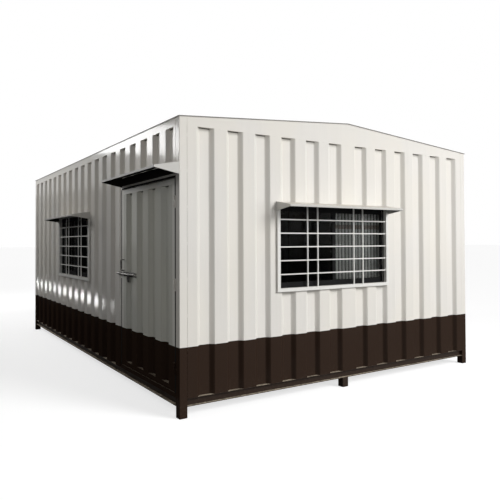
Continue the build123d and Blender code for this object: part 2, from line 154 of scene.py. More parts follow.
key = bpy.data.objects.new("key_light", bpy.data.lights.new("key_light", "SUN"))
key.data.energy = key_power
key.data.angle = math.radians(26)
key_way = Vector((math.sin(key_bearing), -math.cos(key_bearing), math.tan(key_height)))
key.rotation_euler = (-key_way).to_track_quat("-Z", "Y").to_euler()
link(key)

for light in (
    soft_box("front_light", (2.6, -7.4, 2.8), (1.0, -2.9, 1.4), 4.2, 3.2, front_power),
    soft_box("front_left_light", (-6.5, -9.5, 3.0), (-1.5, -2.9, 1.5), 4.0, 3.0, left_power),
    soft_box("side_light", (-7.2, 2.4, 5.0), (-1.9, 2.0, 1.9), 5.0, 2.0, side_power),
    soft_box("back_left_light", (-6.0, 8.5, 5.0), (-1.9, 0.6, 2.0), 3.0, 2.0, back_power),
):
    light.visible_glossy = False
for light in (
    soft_box("low_strip", (-4.75, 0.33, 0.60), (-1.80, 1.42, 0.70), 4.15, 0.15, strip_power, honeycomb),
    soft_box("near_strip", (-3.91, -1.95, 0.60), (-0.96, -0.86, 0.70), 0.50, 0.15, near_strip_power, honeycomb),
    soft_box("crest_strip", (-6.9, 12.0, 5.45), (-2.0, -1.0, 2.6), 4.6, 1.1, crest_power),
):
    light.visible_diffuse = False

world = bpy.data.worlds.new("white_room")
bpy.context.scene.world = world
world.use_nodes = True
tree = world.node_tree
tree.nodes.clear()
path, seen = background_rays(tree)
strength = wire(tree, "ShaderNodeMapRange", {"Value": seen, "To Min": room_for_matt, "To Max": 1.0})
room = wire(tree, "ShaderNodeBackground", {"Color": (1, 1, 1, 1), "Strength": strength.outputs[0]})
wire(tree, "ShaderNodeOutputWorld", {"Surface": room.outputs[0]})

bpy.ops.mesh.primitive_plane_add(size=400, location=(0, 0, 0))
floor = bpy.context.object
floor.name = "studio_floor"
material, tree = new_material("pale_floor")
path, seen = background_rays(tree)
matt = wire(tree, "ShaderNodeBsdfDiffuse", {"Color": (0.14, 0.138, 0.135, 1)})
pale = wire(tree, "ShaderNodeBsdfDiffuse", {"Color": (0.55, 0.55, 0.55, 1)})
ground = wire(tree, "ShaderNodeMixShader", {0: seen, 1: matt.outputs[0], 2: pale.outputs[0]})
lift = wire(tree, "ShaderNodeMath", {0: path.outputs["Is Camera Ray"], 1: floor_glow}, operation="MULTIPLY")
glow = wire(tree, "ShaderNodeEmission", {"Color": (1, 1, 1, 1), "Strength": lift.outputs[0]})
dress(tree, wire(tree, "ShaderNodeAddShader", {0: ground.outputs[0], 1: glow.outputs[0]}))
floor.data.materials.append(material)

flat_cloth, tree = new_material("flat_cloth")
dress(tree, wire(tree, "ShaderNodeBsdfDiffuse", {"Color": (0.012, 0.012, 0.012, 1)}))


def dark_card(name, corners):
    """A card of black cloth between four corners, which the camera doesn't see."""
    mesh = bpy.data.meshes.new(name)
    mesh.from_pydata(corners, [], [(0, 1, 2, 3)])
    mesh.materials.append(flat_cloth)
    card = bpy.data.objects.new(name, mesh)
    link(card)
    card.visible_camera = False
    return card


for name, (x, y), (far_x, far_y), height in (
    ("front_flat", (-5.5, -6.4), (-5.5, -1.6), 4.6),
    ("left_flat", (-5.5, -1.6), (-5.5, 7.0), 3.5),
    ("back_flat", (-5.5, 9.0), (-1.4, 30.0), 3.4),
):
    dark_card(name, [(x, y, 0), (far_x, far_y, 0), (far_x, far_y, height), (x, y, height)])
corners = [(-5.5, -7.0, 0.002), (-2.2, -7.0, 0.002), (-2.2, 18.0, 0.002), (-5.5, 18.0, 0.002)]
card = dark_card("dark_ground_card", corners)
card.visible_diffuse = False
card.visible_shadow = False

bpy.context.scene.view_settings.view_transform = "Standard"

# Base. Channel rails all round on square legs, welded up and brushed with dark brown gloss enamel, with road dust
# lying on their ledges. Two shorter legs stand under the middle of the end rails.
base_brown = (0.024, 0.0140, 0.0095, 1)
dust_colour = (0.56, 0.48, 0.37, 1)
splash_colour = (0.10, 0.08, 0.06, 1)
specular = "Specular IOR Level"


def new_group(name, inputs, outputs):
    """Starts a shader node group. Gives the group and the outputs of its input node, and its output node."""
    group = bpy.data.node_groups.new(name, "ShaderNodeTree")
    for label, (kind, value) in inputs.items():
        socket = group.interface.new_socket(label, in_out="INPUT", socket_type="NodeSocket" + kind)
        if value is not None:
            socket.default_value = value
    for label, kind in outputs.items():
        group.interface.new_socket(label, in_out="OUTPUT", socket_type="NodeSocket" + kind)
    given = group.nodes.new("NodeGroupInput")
    return group, given.outputs, group.nodes.new("NodeGroupOutput")


def use_group(tree, group, inputs):
    """Places a node group in a material and gives its outputs."""
    return wire(tree, "ShaderNodeGroup", inputs, node_tree=group).outputs


def reckon(tree, operation, first, second=0.0, third=0.0):
    """One arithmetic step between shader values."""
    return wire(tree, "ShaderNodeMath", {0: first, 1: second, 2: third}, operation=operation).outputs[0]


def times(tree, first, second):
    """One shader value times another."""
    return reckon(tree, "MULTIPLY", first, second)


def spread(tree, value, low, high, low_to=0.0, high_to=1.0):
    """Maps a value smoothly from one range to another, and holds it there."""
    ends = {"Value": value, "From Min": low, "From Max": high, "To Min": low_to, "To Max": high_to}
    return wire(tree, "ShaderNodeMapRange", ends, interpolation_type="SMOOTHSTEP").outputs[0]


def noise(tree, place, scale, detail=2.0, rough=0.5, stretch=None):
    """Soft noise from 0 to 1 at a place. A small number in stretch draws it out along an axis."""
    if stretch:
        place = wire(tree, "ShaderNodeMapping", {"Vector": place, "Scale": stretch}).outputs[0]
    inputs = {"Vector": place, "Scale": scale, "Detail": detail, "Roughness": rough}
    return wire(tree, "ShaderNodeTexNoise", inputs).outputs[0]


def tinted(tree, amount, first, second):
    """Mixes two colours by an amount."""
    return wire(tree, "ShaderNodeMix", {0: amount, 6: first, 7: second}, data_type="RGBA").outputs[2]


def parts_of(tree, vector):
    """The X, Y and Z of a vector."""
    return wire(tree, "ShaderNodeSeparateXYZ", {0: vector}).outputs


# the height of a sprayed or brushed coat: fine orange peel, and on pressed sheet a slow waviness
coat, given, out = new_group(
    "coat_height",
    {"Place": ("Vector", None), "Peel": ("Float", 0.00005), "Wave": ("Float", 0.0), "Wave Scale": ("Float", 1.6)},
    {"Height": "Float"},
)
peel = noise(coat, given["Place"], 170.0, 2.0)
slow = noise(coat, given["Place"], given["Wave Scale"], 2.0, 0.45, stretch=(1.0, 1.0, 0.34))
peel_height = times(coat, peel, given["Peel"])
coat.links.new(reckon(coat, "MULTIPLY_ADD", slow, given["Wave"], peel_height), out.inputs["Height"])

# what weather leaves: dust on ledges, splashes near the ground, faint runs down a wall, and slow clouding
weather, given, out = new_group(
    "weather",
    {"Place": ("Vector", None), "Facing": ("Vector", None), "Splash Height": ("Float", 0.35)},
    {"Dust": "Float", "Splash": "Float", "Runs": "Float", "Cloud": "Float"},
)
place = given["Place"]
upward = spread(weather, parts_of(weather, given["Facing"])["Z"], 0.35, 0.85)
grains = noise(weather, place, 34.0, 4.0, 0.65)
clumps = noise(weather, place, 5.0, 2.0)
dusty = times(weather, spread(weather, grains, 0.30, 0.62, 0.25), spread(weather, clumps, 0.25, 0.6, 0.5))
weather.links.new(times(weather, upward, dusty), out.inputs["Dust"])
low_down = spread(weather, parts_of(weather, place)["Z"], given["Splash Height"], 0.02)
spots = spread(weather, noise(weather, place, 60.0, 3.0, 0.7), 0.48, 0.72)
weather.links.new(times(weather, low_down, spots), out.inputs["Splash"])
runs = noise(weather, place, 2.2, 3.0, 0.6, stretch=(9.0, 9.0, 0.55))
weather.links.new(spread(weather, runs, 0.42, 0.75), out.inputs["Runs"])
weather.links.new(noise(weather, place, 1.1, 2.0), out.inputs["Cloud"])


def new_finish(name):
    """A material for pieces of the cabin, with the place of a point of the piece."""
    material, tree = new_material(name)
    return material, tree, wire(tree, "ShaderNodeTexCoord").outputs["Object"]


def surface_facing(tree):
    """The way that a piece's surface faces."""
    return wire(tree, "ShaderNodeNewGeometry").outputs["Normal"]


def weathered(tree, place, splash_height=0.35):
    """The marks of the weather on a piece."""
    return use_group(tree, weather, {"Place": place, "Facing": surface_facing(tree), "Splash Height": splash_height})


def coat_relief(tree, place, peel, wave=0.0, wave_scale=1.6):
    """The height of a coat of paint on a piece."""
    inputs = {"Place": place, "Peel": peel, "Wave": wave, "Wave Scale": wave_scale}
    return use_group(tree, coat, inputs)["Height"]


def surface(tree, height, colour, rough, more=()):
    """The surface of a material: its relief, a height in metres, its colour, its roughness and more inputs."""
    relief = wire(tree, "ShaderNodeBump", {"Height": height, "Strength": 1.0, "Distance": 1.0})
    inputs = {"Base Color": colour, "Roughness": rough, "Normal": relief.outputs[0], **dict(more)}
    dress(tree, wire(tree, "ShaderNodeBsdfPrincipled", inputs))


def paint(material, *names):
    """Gives frame nodes their finish."""
    for name in names:
        slots = nodes[name].data.materials
        slots.clear()
        slots.append(material)


def mottled(name, grain, first, second, relief, rough, more=(), between=None):
    """A finish that varies between two colours with a grain, which is also its relief in metres."""
    material, tree, place = new_finish(name)
    amount = noise(tree, place, *grain)
    share = spread(tree, amount, *between) if between else amount
    surface(tree, times(tree, amount, relief), tinted(tree, share, first, second), rough, more)
    return material


base_enamel, tree, place = new_finish("base_enamel")
marks = weathered(tree, place, 0.30)
colour = tinted(tree, times(tree, marks["Splash"], 0.35), base_brown, splash_colour)
colour = tinted(tree, times(tree, marks["Dust"], 0.95), colour, dust_colour)
rough = reckon(tree, "MULTIPLY_ADD", marks["Dust"], 0.45, 0.42)
surface(tree, coat_relief(tree, place, 0.00008), colour, rough, {specular: 0.22})
paint(base_enamel, "middle_legs", "end_base_rails", "side_base_rails")

# Joists and floor. Pressed steel joists across the base, in red-brown primer, carry sheets of cement board, whose
# joints show every 1.2 m, with a faint cast grain.
primer, tree, place = new_finish("joist_primer")
marks = weathered(tree, place)
colour = tinted(tree, marks["Cloud"], (0.075, 0.026, 0.016, 1), (0.045, 0.020, 0.014, 1))
colour = tinted(tree, times(tree, marks["Splash"], 0.5), colour, splash_colour)
surface(tree, coat_relief(tree, place, 0.0001), colour, 0.72)
paint(primer, "floor_joists")

cement_board, tree, place = new_finish("cement_floor_board")
along = reckon(tree, "PINGPONG", reckon(tree, "ADD", parts_of(tree, place)["Y"], 0.61), 0.61)
across = reckon(tree, "PINGPONG", parts_of(tree, place)["X"], 1.22)
joint = spread(tree, reckon(tree, "MINIMUM", along, across), 0.0015, 0.004)
grain = noise(tree, place, 3.0, 5.0, 0.6, stretch=(3.0, 14.0, 3.0))
colour = tinted(tree, spread(tree, grain, 0.3, 0.7), (0.26, 0.23, 0.20, 1), (0.34, 0.31, 0.27, 1))
colour = tinted(tree, joint, (0.05, 0.045, 0.04, 1), colour)
surface(tree, times(tree, grain, 0.0004), colour, 0.78)
paint(cement_board, "floor_board")

# Posts, beams and gables. Square and pressed steel members, welded at the corners and enamelled on site: off-white
# above and dark brown below one level line that runs right round the cabin, cut in along a tape.
border_height = 0.638
upper_white = (0.80, 0.775, 0.73, 1)
lower_brown = (0.033, 0.0200, 0.0140, 1)

band, given, out = new_group(
    "two_tone",
    {"Place": ("Vector", None), "Upper": ("Color", upper_white), "Lower": ("Color", lower_brown)},
    {"Color": "Color", "Lower Mask": "Float"},
)
wobble = noise(band, given["Place"], 7.0, 2.0)
edge = reckon(band, "MULTIPLY_ADD", wobble, 0.004, border_height - 0.002)
above = reckon(band, "SUBTRACT", parts_of(band, given["Place"])["Z"], edge)
lower = spread(band, above, 0.0008, -0.0008)
band.links.new(lower, out.inputs["Lower Mask"])
band.links.new(tinted(band, lower, given["Upper"], given["Lower"]), out.inputs["Color"])

# the roundness of the bends of a pressed rib: how far a soft bend stands from the folded one, which it softens
rib_depth = 0.038
slope_start, slope_end = 0.053, 0.088
soft_start, soft_end = 0.0448, 0.0963
bend_inputs = {"Distance": ("Float", 0.0), "Facing": ("Float", 1.0)}
bends, given, out = new_group("rib_bends", bend_inputs, {"Height": "Float"})
rounded = spread(bends, given["Distance"], soft_start, soft_end, 0.0, rib_depth)
slope = {"Value": given["Distance"], "From Min": slope_start, "From Max": slope_end, "To Max": rib_depth}
folded = wire(bends, "ShaderNodeMapRange", slope).outputs[0]
share = reckon(bends, "ABSOLUTE", given["Facing"])
bends.links.new(times(bends, reckon(bends, "SUBTRACT", rounded, folded), share), out.inputs["Height"])


def wall_enamel(name, upper, wave, peel, tone=0.05, ribs=None, gloss=0.50):
    """Two-tone gloss enamel. Wave and peel are heights in metres, tone is how far its white clouds, and gloss is
    that of the white. Ribs gives the distance from the nearest rib's middle line and how far the surface faces
    out of the wall."""
    material, tree, place = new_finish(name)
    marks = weathered(tree, place, 0.40)
    grimy = tuple(channel * 0.80 for channel in upper[:3]) + (1,)
    pale = tinted(tree, times(tree, marks["Runs"], tone * 2.2), upper, grimy)
    pale = tinted(tree, times(tree, marks["Cloud"], tone * 2.0), pale, grimy)
    yellowed = (upper[0], upper[1] * 0.993, upper[2] * 0.972, 1)
    patches = spread(tree, noise(tree, place, 1.7, 1.0, stretch=(1.0, 1.0, 0.5)), 0.40, 0.60)
    pale = tinted(tree, times(tree, patches, 0.9), pale, yellowed)
    dark = tinted(tree, times(tree, marks["Splash"], 0.22), lower_brown, splash_colour)
    coats = use_group(tree, band, {"Place": place, "Upper": pale, "Lower": dark})
    colour = tinted(tree, times(tree, marks["Dust"], 0.55), coats["Color"], dust_colour)
    clear_coat = reckon(tree, "MULTIPLY_ADD", coats["Lower Mask"], 0.12 - gloss, gloss)
    rough = reckon(tree, "MULTIPLY_ADD", coats["Lower Mask"], 0.10, 0.34)
    rough = reckon(tree, "MULTIPLY_ADD", marks["Runs"], 0.05, rough)
    rough = reckon(tree, "MULTIPLY_ADD", marks["Dust"], 0.4, rough)
    height = coat_relief(tree, place, peel, wave)
    if ribs:
        distance, outwards = ribs(tree, place, parts_of(tree, surface_facing(tree)))
        bent = use_group(tree, bends, {"Distance": distance, "Facing": outwards})["Height"]
        height = reckon(tree, "ADD", height, bent)
    coating = {specular: 0.0, "Coat Weight": clear_coat, "Coat Roughness": 0.10}
    surface(tree, height, colour, rough, coating)
    return material


frame_enamel = wall_enamel("frame_enamel", upper_white, 0.0005, 0.00005)
paint(frame_enamel, "front_left_post", "front_right_post", "back_left_post", "back_right_post")
paint(frame_enamel, "eave_beams", "gable_beams", "door_frame")

# Wall sheets. Mild steel sheet pressed into deep ribs, welded between the posts and sprayed with the same enamel.
# Thin sheet pulls out of true between its ribs, so its gloss wanders.
hood_reach, roof_lip = 0.240, 0.008
left, front = cad_low.x + hood_reach, cad_low.y + hood_reach
right, back = cad_high.x - roof_lip, cad_high.y - roof_lip
middle_x, middle_y = (left + right) / 2, (front + back) / 2
post_size = 0.080
sheet_low, sheet_high = 0.176, 2.656
rib_pitch = 0.3185
first_rib = 0.19075
long_walls_from = 1.995


def wall_ribs(tree, place, way):
    """Where a point of the end and back walls, or of the long walls, lies between the ribs."""
    off = parts_of(tree, place)
    from_middle = reckon(tree, "ABSOLUTE", reckon(tree, "SUBTRACT", off["X"], middle_x))
    long_wall = reckon(tree, "GREATER_THAN", from_middle, long_walls_from)
    short = reckon(tree, "PINGPONG", reckon(tree, "SUBTRACT", from_middle, first_rib), rib_pitch / 2)
    long = reckon(tree, "PINGPONG", reckon(tree, "SUBTRACT", off["Y"], middle_y), rib_pitch / 2)
    distance = wire(tree, "ShaderNodeMix", {0: long_wall, 2: short, 3: long}).outputs[0]
    return distance, wire(tree, "ShaderNodeMix", {0: long_wall, 2: way["Y"], 3: way["X"]}).outputs[0]


sheet_enamel = wall_enamel("sheet_enamel", upper_white, 0.0045, 0.00006, 0.07, wall_ribs)
for name in nodes:
    if "_sheet" in name and "roof" not in name and name != "door_leaf_sheet":
        paint(sheet_enamel, name)

# Stitch welds. Short runs of weld hold the sheets to the posts, to the base rails and to the beams, one at each
# rib, and were painted over. One bead is modelled, with the ripples that the torch leaves, and copied.
bead_length, bead_width, bead_ripples = 0.030, 0.008, 5
bead_sunk = 0.0025
post_beads, post_bead_low, post_bead_step = 8, 0.26, 0.33
past_door = front + 1.60


def alone(piece):
    """Selects one piece and makes it the active one."""
    bpy.ops.object.select_all(action="DESELECT")
    piece.select_set(True)
    bpy.context.view_layer.objects.active = piece


def settle(piece, name, material=None):
    """Puts a modelled piece's place, turn and size into its mesh, names it and gives it its finish."""
    if bpy.context.mode != "OBJECT":
        bpy.ops.object.mode_set(mode="OBJECT")
    alone(piece)
    bpy.ops.object.transform_apply(location=True, rotation=True, scale=True)
    piece.name = name
    piece.data.name = name
    if material:
        piece.data.materials.clear()
        piece.data.materials.append(material)
    return piece


def pick(piece, kind, wanted=lambda part: True):
    """In edit mode, selects only the vertices, edges or faces that pass a test, or else all."""
    bpy.ops.mesh.select_mode(type=kind)
    bpy.ops.mesh.select_all(action="DESELECT")
    shape = bmesh.from_edit_mesh(piece.data)
    parts = {"VERT": shape.verts, "EDGE": shape.edges, "FACE": shape.faces}
    for part in parts[kind]:
        if wanted(part):
            part.select_set(True)
    shape.select_flush_mode()
    bmesh.update_edit_mesh(piece.data)


def joined(pieces, name, material):
    """Joins pieces into one."""
    alone(pieces[0])
    for piece in pieces:
        piece.select_set(True)
    bpy.ops.object.join()
    return settle(pieces[0], name, material)


def carry(piece, body="cabin"):
    """Fixes a piece to a body."""
    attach(piece, body)
    return piece


def set_out(model, places, name, material, body="cabin", keep=False):
    """Copies a model to each place, given as a matrix, each with its own mesh, joins the copies into one piece
    and fixes it to a body. The model goes, unless it is kept for more copies."""
    settle(model, "model")
    twins = []
    for place in places:
        twin = model.copy()
        twin.data = model.data.copy()
        twin.data.transform(place)
        link(twin)
        twins.append(twin)
    if not keep:
        bpy.data.objects.remove(model)
    return carry(joined(twins, name, material), body)


def started():
    """The primitive just added, in edit mode and selected all over."""
    bpy.ops.object.mode_set(mode="EDIT")
    return bpy.context.object


def resize(size):
    """In edit mode, sizes what is selected about the origin."""
    bpy.ops.transform.resize(value=size, center_override=(0, 0, 0))


def weld_bead(length, width):
    """A bead along Z about the origin, pinched between its ripples and drawn in at its ends."""
    bpy.ops.mesh.primitive_cylinder_add(vertices=7, radius=width / 2, depth=length, end_fill_type="TRIFAN")
    bead = started()
    pick(bead, "EDGE", lambda part: abs(part.verts[0].co.z - part.verts[1].co.z) > length * 0.9)
    bpy.ops.mesh.subdivide(number_cuts=bead_ripples)
    for ripple in range(bead_ripples + 2):
        level = length * (ripple / (bead_ripples + 1) - 0.5)
        size = 0.5 if ripple in (0, bead_ripples + 1) else 1.0 if ripple % 2 else 0.80
        pick(bead, "VERT", lambda part: abs(part.co.z - level) < 1e-5 and part.co.xy.length > 1e-5)
        resize((size, size, 1))
    bpy.ops.object.mode_set(mode="OBJECT")
    bpy.ops.object.shade_smooth()
    return bead


def turned(degrees, axis):
    """A turn about an axis through the origin."""
    return Matrix.Rotation(math.radians(degrees), 4, axis)


moved = Matrix.Translation
along_x, along_y = turned(90, "Y"), turned(90, "X")
end_crests = [middle_x + side * (first_rib + rib_pitch / 2 + rib_pitch * n) for side in (-1, 1) for n in range(5)]
end_crests.append(middle_x)
side_crests = [middle_y + (n - 9.5) * rib_pitch for n in range(1, 19)]
end_faces = (front + bead_sunk, back - bead_sunk)
bead = weld_bead(bead_length, bead_width)
places = []
for level in (sheet_low, sheet_high):
    door_side = [y for y in side_crests if level == sheet_high or y > past_door]
    places += [moved((x, y, level)) @ along_x for x in end_crests for y in end_faces]
    places += [moved((right - bead_sunk, y, level)) @ along_y for y in side_crests]
    places += [moved((left + bead_sunk, y, level)) @ along_y for y in door_side]
for step in range(post_beads):
    level = post_bead_low + step * post_bead_step
    places += [moved((x, y, level)) for x in (left + post_size, right - post_size) for y in end_faces]
    places += [moved((right - bead_sunk, y, level)) for y in (front + post_size, back - post_size)]
    places.append(moved((left + bead_sunk, back - post_size, level)))
set_out(bead, places, "stitch_welds", frame_enamel)

# Rib tops. Where the ribs run up under the beams, a short black fillet lies across the floor of each rib, as
# painted shade in the open ends that the beams overhang.
rib_top_strip_size = Vector((0.112, 0.012, 0.006))
shade_black, shade_grey = (0.035, 0.032, 0.028, 1), (0.085, 0.078, 0.066, 1)
rib_top_shade = mottled("painted_rib_top_shade", (90.0, 3.0, 0.6), shade_black, shade_grey, 0.0008, 0.85)


def block(size):
    """Starts a block about the origin, in edit mode."""
    bpy.ops.mesh.primitive_cube_add(size=1)
    piece = started()
    resize(size)
    return piece


def ease(piece, offset, segments, wanted=lambda part: True):
    """In edit mode, rounds or chamfers the edges that pass a test, or else all."""
    pick(piece, "EDGE", wanted)
    bpy.ops.mesh.bevel(offset=offset, segments=segments, affect="EDGES")


fillet = block(rib_top_strip_size)
ease(fillet, 0.004, 3, lambda part: all(point.co.y < 0 and point.co.z < 0 for point in part.verts))
level = sheet_high - rib_top_strip_size.z / 2
half_turn, left_turn, right_turn = turned(180, "Z"), turned(-90, "Z"), turned(90, "Z")
end_ribs = [middle_x + side * (first_rib + rib_pitch * n) for side in (-1, 1) for n in range(6)]
side_ribs = [middle_y + (n - 9) * rib_pitch for n in range(19)]
places = [moved((x, front + rib_depth, level)) for x in end_ribs]
places += [moved((x, back - rib_depth, level)) @ half_turn for x in end_ribs]
places += [moved((left + rib_depth, y, level)) @ left_turn for y in side_ribs]
places += [moved((right - rib_depth, y, level)) @ right_turn for y in side_ribs]
set_out(fillet, places, "rib_top_shade_strips", rib_top_shade, keep=True)

# Roof. Two slopes of plain steel sheet, lapped across the slope and screwed down with washered screws, painted
# off-white and weathered: rain leaves grey runs and dust down them, and faces that stand on edge are dark grey.
roof_top = cad_high.z
roof_fall = 0.07736
first_panel, panel_length = front + 0.01, 1.23
lap_size = Vector((1.90, 0.050, 0.0025))
lap_from_ridge = 0.10
screws_per_lap, first_screw, screw_step = 7, 0.16, 0.29

roof_enamel, tree, place = new_finish("roof_enamel")
marks = weathered(tree, place)
runs = noise(tree, place, 2.0, 4.0, 0.6, stretch=(0.5, 7.0, 1.0))
colour = tinted(tree, spread(tree, runs, 0.35, 0.75), (0.66, 0.64, 0.61, 1), (0.46, 0.44, 0.41, 1))
along = reckon(tree, "DIVIDE", reckon(tree, "SUBTRACT", parts_of(tree, place)["Y"], first_panel), panel_length)
panel_tone = wire(tree, "ShaderNodeTexWhiteNoise", {"W": reckon(tree, "FLOOR", along)}, noise_dimensions="1D")
colour = tinted(tree, times(tree, panel_tone.outputs["Value"], 0.30), colour, (0.40, 0.385, 0.36, 1))
off_lap = times(tree, reckon(tree, "PINGPONG", along, 0.5), panel_length)
colour = tinted(tree, spread(tree, off_lap, 0.038, 0.028, 0.0, 0.75), colour, (0.24, 0.225, 0.20, 1))
colour = tinted(tree, times(tree, marks["Dust"], 0.35), colour, dust_colour)
flat_on = reckon(tree, "ABSOLUTE", parts_of(tree, surface_facing(tree))["Z"])
colour = tinted(tree, spread(tree, flat_on, 0.2, 0.6), (0.16, 0.15, 0.135, 1), colour)
surface(tree, coat_relief(tree, place, 0.00008, 0.004, 1.1), colour, 0.45, {specular: 0.4})
paint(roof_enamel, "left_roof_sheet", "right_roof_sheet")

bare_zinc, rust = (0.45, 0.44, 0.42, 1), (0.22, 0.12, 0.07, 1)
screw_zinc = mottled("roof_screw_zinc", (80.0, 3.0), bare_zinc, rust, 0.0001, 0.5, {"Metallic": 0.5}, (0.45, 0.7))


def extrude(way):
    """In edit mode, extrudes what is selected."""
    bpy.ops.mesh.extrude_region_move(TRANSFORM_OT_translate={"value": way})


def draw_out(piece, inset, way, wanted):
    """In edit mode, insets the faces that pass a test and extrudes them."""
    pick(piece, "FACE", wanted)
    bpy.ops.mesh.inset(thickness=inset, depth=0)
    extrude(way)


def on_slope(side, down, y, lift):
    """A place on one slope of the roof, at a distance down from the ridge."""
    tilt = Matrix.Rotation(side * math.atan(roof_fall), 4, "Y")
    return moved((middle_x + side * down, y, roof_top - roof_fall * down + lift)) @ tilt


lap = block(lap_size)
ease(lap, 0.0015, 2, lambda part: all(point.co.z > 0 for point in part.verts))
settle(lap, "lap")

bpy.ops.mesh.primitive_cylinder_add(vertices=12, radius=0.0085, depth=0.0018)
screw = started()
draw_out(screw, 0.0035, (0, 0, 0.0045), lambda part: part.normal.z > 0.9)
bpy.ops.mesh.inset(thickness=0.0012, depth=0.0006)

lap_places, screw_places = [], []
for side in (-1, 1):
    for panel in range(1, 5):
        y = first_panel + panel * panel_length
        lap_places.append(on_slope(side, lap_from_ridge + lap_size.x / 2, y, lap_size.z * 0.3))
        for number in range(screws_per_lap):
            screw_places.append(on_slope(side, first_screw + number * screw_step, y, lap_size.z * 0.8))
set_out(lap, lap_places, "roof_laps", roof_enamel)
set_out(screw, screw_places, "roof_screws", screw_zinc)

# Linings and ceiling. Factory-faced board, light brown and satin, in sheets four feet wide, nailed up with a wooden
# cover strip, raised in its middle, over each joint and a skirting of the same round the floor.
strip_width, strip_thickness = 0.040, 0.005
skirting_height, skirting_thickness = 0.075, 0.009
end_joints, back_joints = (-1.30, 1.35), (-1.10, 0.116, 1.336)
right_joints, door_joints = (-1.66, -0.44, 0.78, 2.00), (-0.80, 2.10)
floor_top, ceiling_bottom = 0.194, 2.644
skirting_past_door = front + 1.56

facing_light, facing_dark = (0.44, 0.385, 0.305, 1), (0.38, 0.325, 0.25, 1)
wood_light, wood_dark = (0.30, 0.20, 0.12, 1), (0.20, 0.125, 0.07, 1)
grain = (3.0, 4.0, 0.55, (20.0, 20.0, 1.2))
board = mottled("faced_board", grain, facing_light, facing_dark, 0.00012, 0.42, between=(0.3, 0.7))
paint(board, "ceiling_board", "end_wall_lining", "door_wall_lining", "right_wall_lining", "back_wall_lining")
rings = (3.0, 5.0, 0.6, (30.0, 30.0, 2.0))
wood = mottled("cover_strip_wood", rings, wood_light, wood_dark, 0.0003, 0.5, between=(0.3, 0.7))


def moulding(low, high, outward):
    """A strip between two corners, with a raised middle on the face that looks outward and eased edges."""
    low, high, outward = Vector(low), Vector(high), Vector(outward)
    size = high - low
    raised = outward * 0.001
    piece = block(size)
    bpy.ops.transform.translate(value=(low + high) / 2 - raised)
    pick(piece, "FACE", lambda part: part.normal.dot(outward) > 0.9)
    bpy.ops.mesh.inset(thickness=sorted(size)[1] * 0.22, depth=0)
    bpy.ops.transform.translate(value=raised)
    ease(piece, 0.001, 1, lambda part: len(part.link_faces) == 2 and part.calc_face_angle() > 1.2)
    return settle(piece, "moulding")


room_x, room_y = (left + post_size, right - post_size), (front + post_size, back - post_size)
foot, half = floor_top + skirting_height, strip_width / 2
inner_x, inner_y = (room_x[0] + strip_thickness, room_x[1] - strip_thickness), room_y[0] + strip_thickness
strips = []
for x in end_joints:
    strips.append(moulding((x - half, room_y[0], foot), (x + half, inner_y, ceiling_bottom), (0, 1, 0)))
for x in back_joints:
    low = (x - half, room_y[1] - strip_thickness, foot)
    strips.append(moulding(low, (x + half, room_y[1], ceiling_bottom), (0, -1, 0)))
for y in right_joints:
    strips.append(moulding((inner_x[1], y - half, foot), (room_x[1], y + half, ceiling_bottom), (-1, 0, 0)))
    low = (room_x[0] + 0.02, y - half, ceiling_bottom - strip_thickness)
    strips.append(moulding(low, (room_x[1] - 0.02, y + half, ceiling_bottom), (0, 0, -1)))
for y in door_joints:
    strips.append(moulding((room_x[0], y - half, foot), (inner_x[0], y + half, ceiling_bottom), (1, 0, 0)))
deep = skirting_thickness
for low, high, outward in (
    ((room_x[0] + deep, room_y[0]), (room_x[1], room_y[0] + deep), (0, 1, 0)),
    ((room_x[0], room_y[1] - deep), (room_x[1] - deep, room_y[1]), (0, -1, 0)),
    ((room_x[1] - deep, room_y[0] + deep), (room_x[1], room_y[1] - deep), (-1, 0, 0)),
    ((room_x[0], skirting_past_door), (room_x[0] + deep, room_y[1] - deep), (1, 0, 0)),
):
    strips.append(moulding((*low, floor_top), (*high, foot), outward))
carry(joined(strips, "cover_strips", wood))

# Window frames and grilles. Folded flanges and square bars, brushed with white gloss enamel. The bars were tacked
# with a blob of weld at each crossing and at each end.
trim_white = (0.82, 0.81, 0.78, 1)
trim_painted_shade = (0.60, 0.59, 0.56, 1)
end_window_x, side_window_y, window_level = -0.073, 0.558, 1.5375
half_width, half_height = 0.756, 0.4195
bar_pair_middle, bar_off_pair = 0.3275, 0.0685
blob_length, blob_width, blob_off_bar = 0.012, 0.007, 0.0065
bar_end, bar_face = 0.001, -0.004


def trim_enamel(name, white, shade_colour, inner_from=None):
    """Gloss enamel. A face that looks down is painted in the shade colour, which is flat, as painted shade, and so
    is one that looks to -Y beyond the inner_from level, as the inner side of a far cheek does."""
    material, tree, place = new_finish(name)
    marks = weathered(tree, place)
    colour = tinted(tree, times(tree, marks["Cloud"], 0.3), white, (0.62, 0.605, 0.56, 1))
    colour = tinted(tree, times(tree, marks["Dust"], 0.6), colour, dust_colour)
    way = parts_of(tree, surface_facing(tree))
    down = spread(tree, way["Z"], -0.5, -0.8)
    if inner_from is not None:
        beyond = reckon(tree, "GREATER_THAN", parts_of(tree, place)["Y"], inner_from)
        inner = times(tree, reckon(tree, "LESS_THAN", way["Y"], -0.5), beyond)
        down = reckon(tree, "MAXIMUM", down, inner)
    colour = tinted(tree, down, colour, shade_colour)
    rough = reckon(tree, "MULTIPLY_ADD", down, 0.60, 0.34)
    surface(tree, coat_relief(tree, place, 0.00006, 0.0004, 6.0), colour, rough, {specular: 0.20})
    return material


# faces of the window frames and bars that look down are painted a greyer white, as painted shade
window_enamel = trim_enamel("window_enamel", trim_white, trim_painted_shade)
for name in nodes:
    if name.endswith(("_window_frame", "_window_grille")) or name == "end_curtain_rail":
        paint(window_enamel, name)

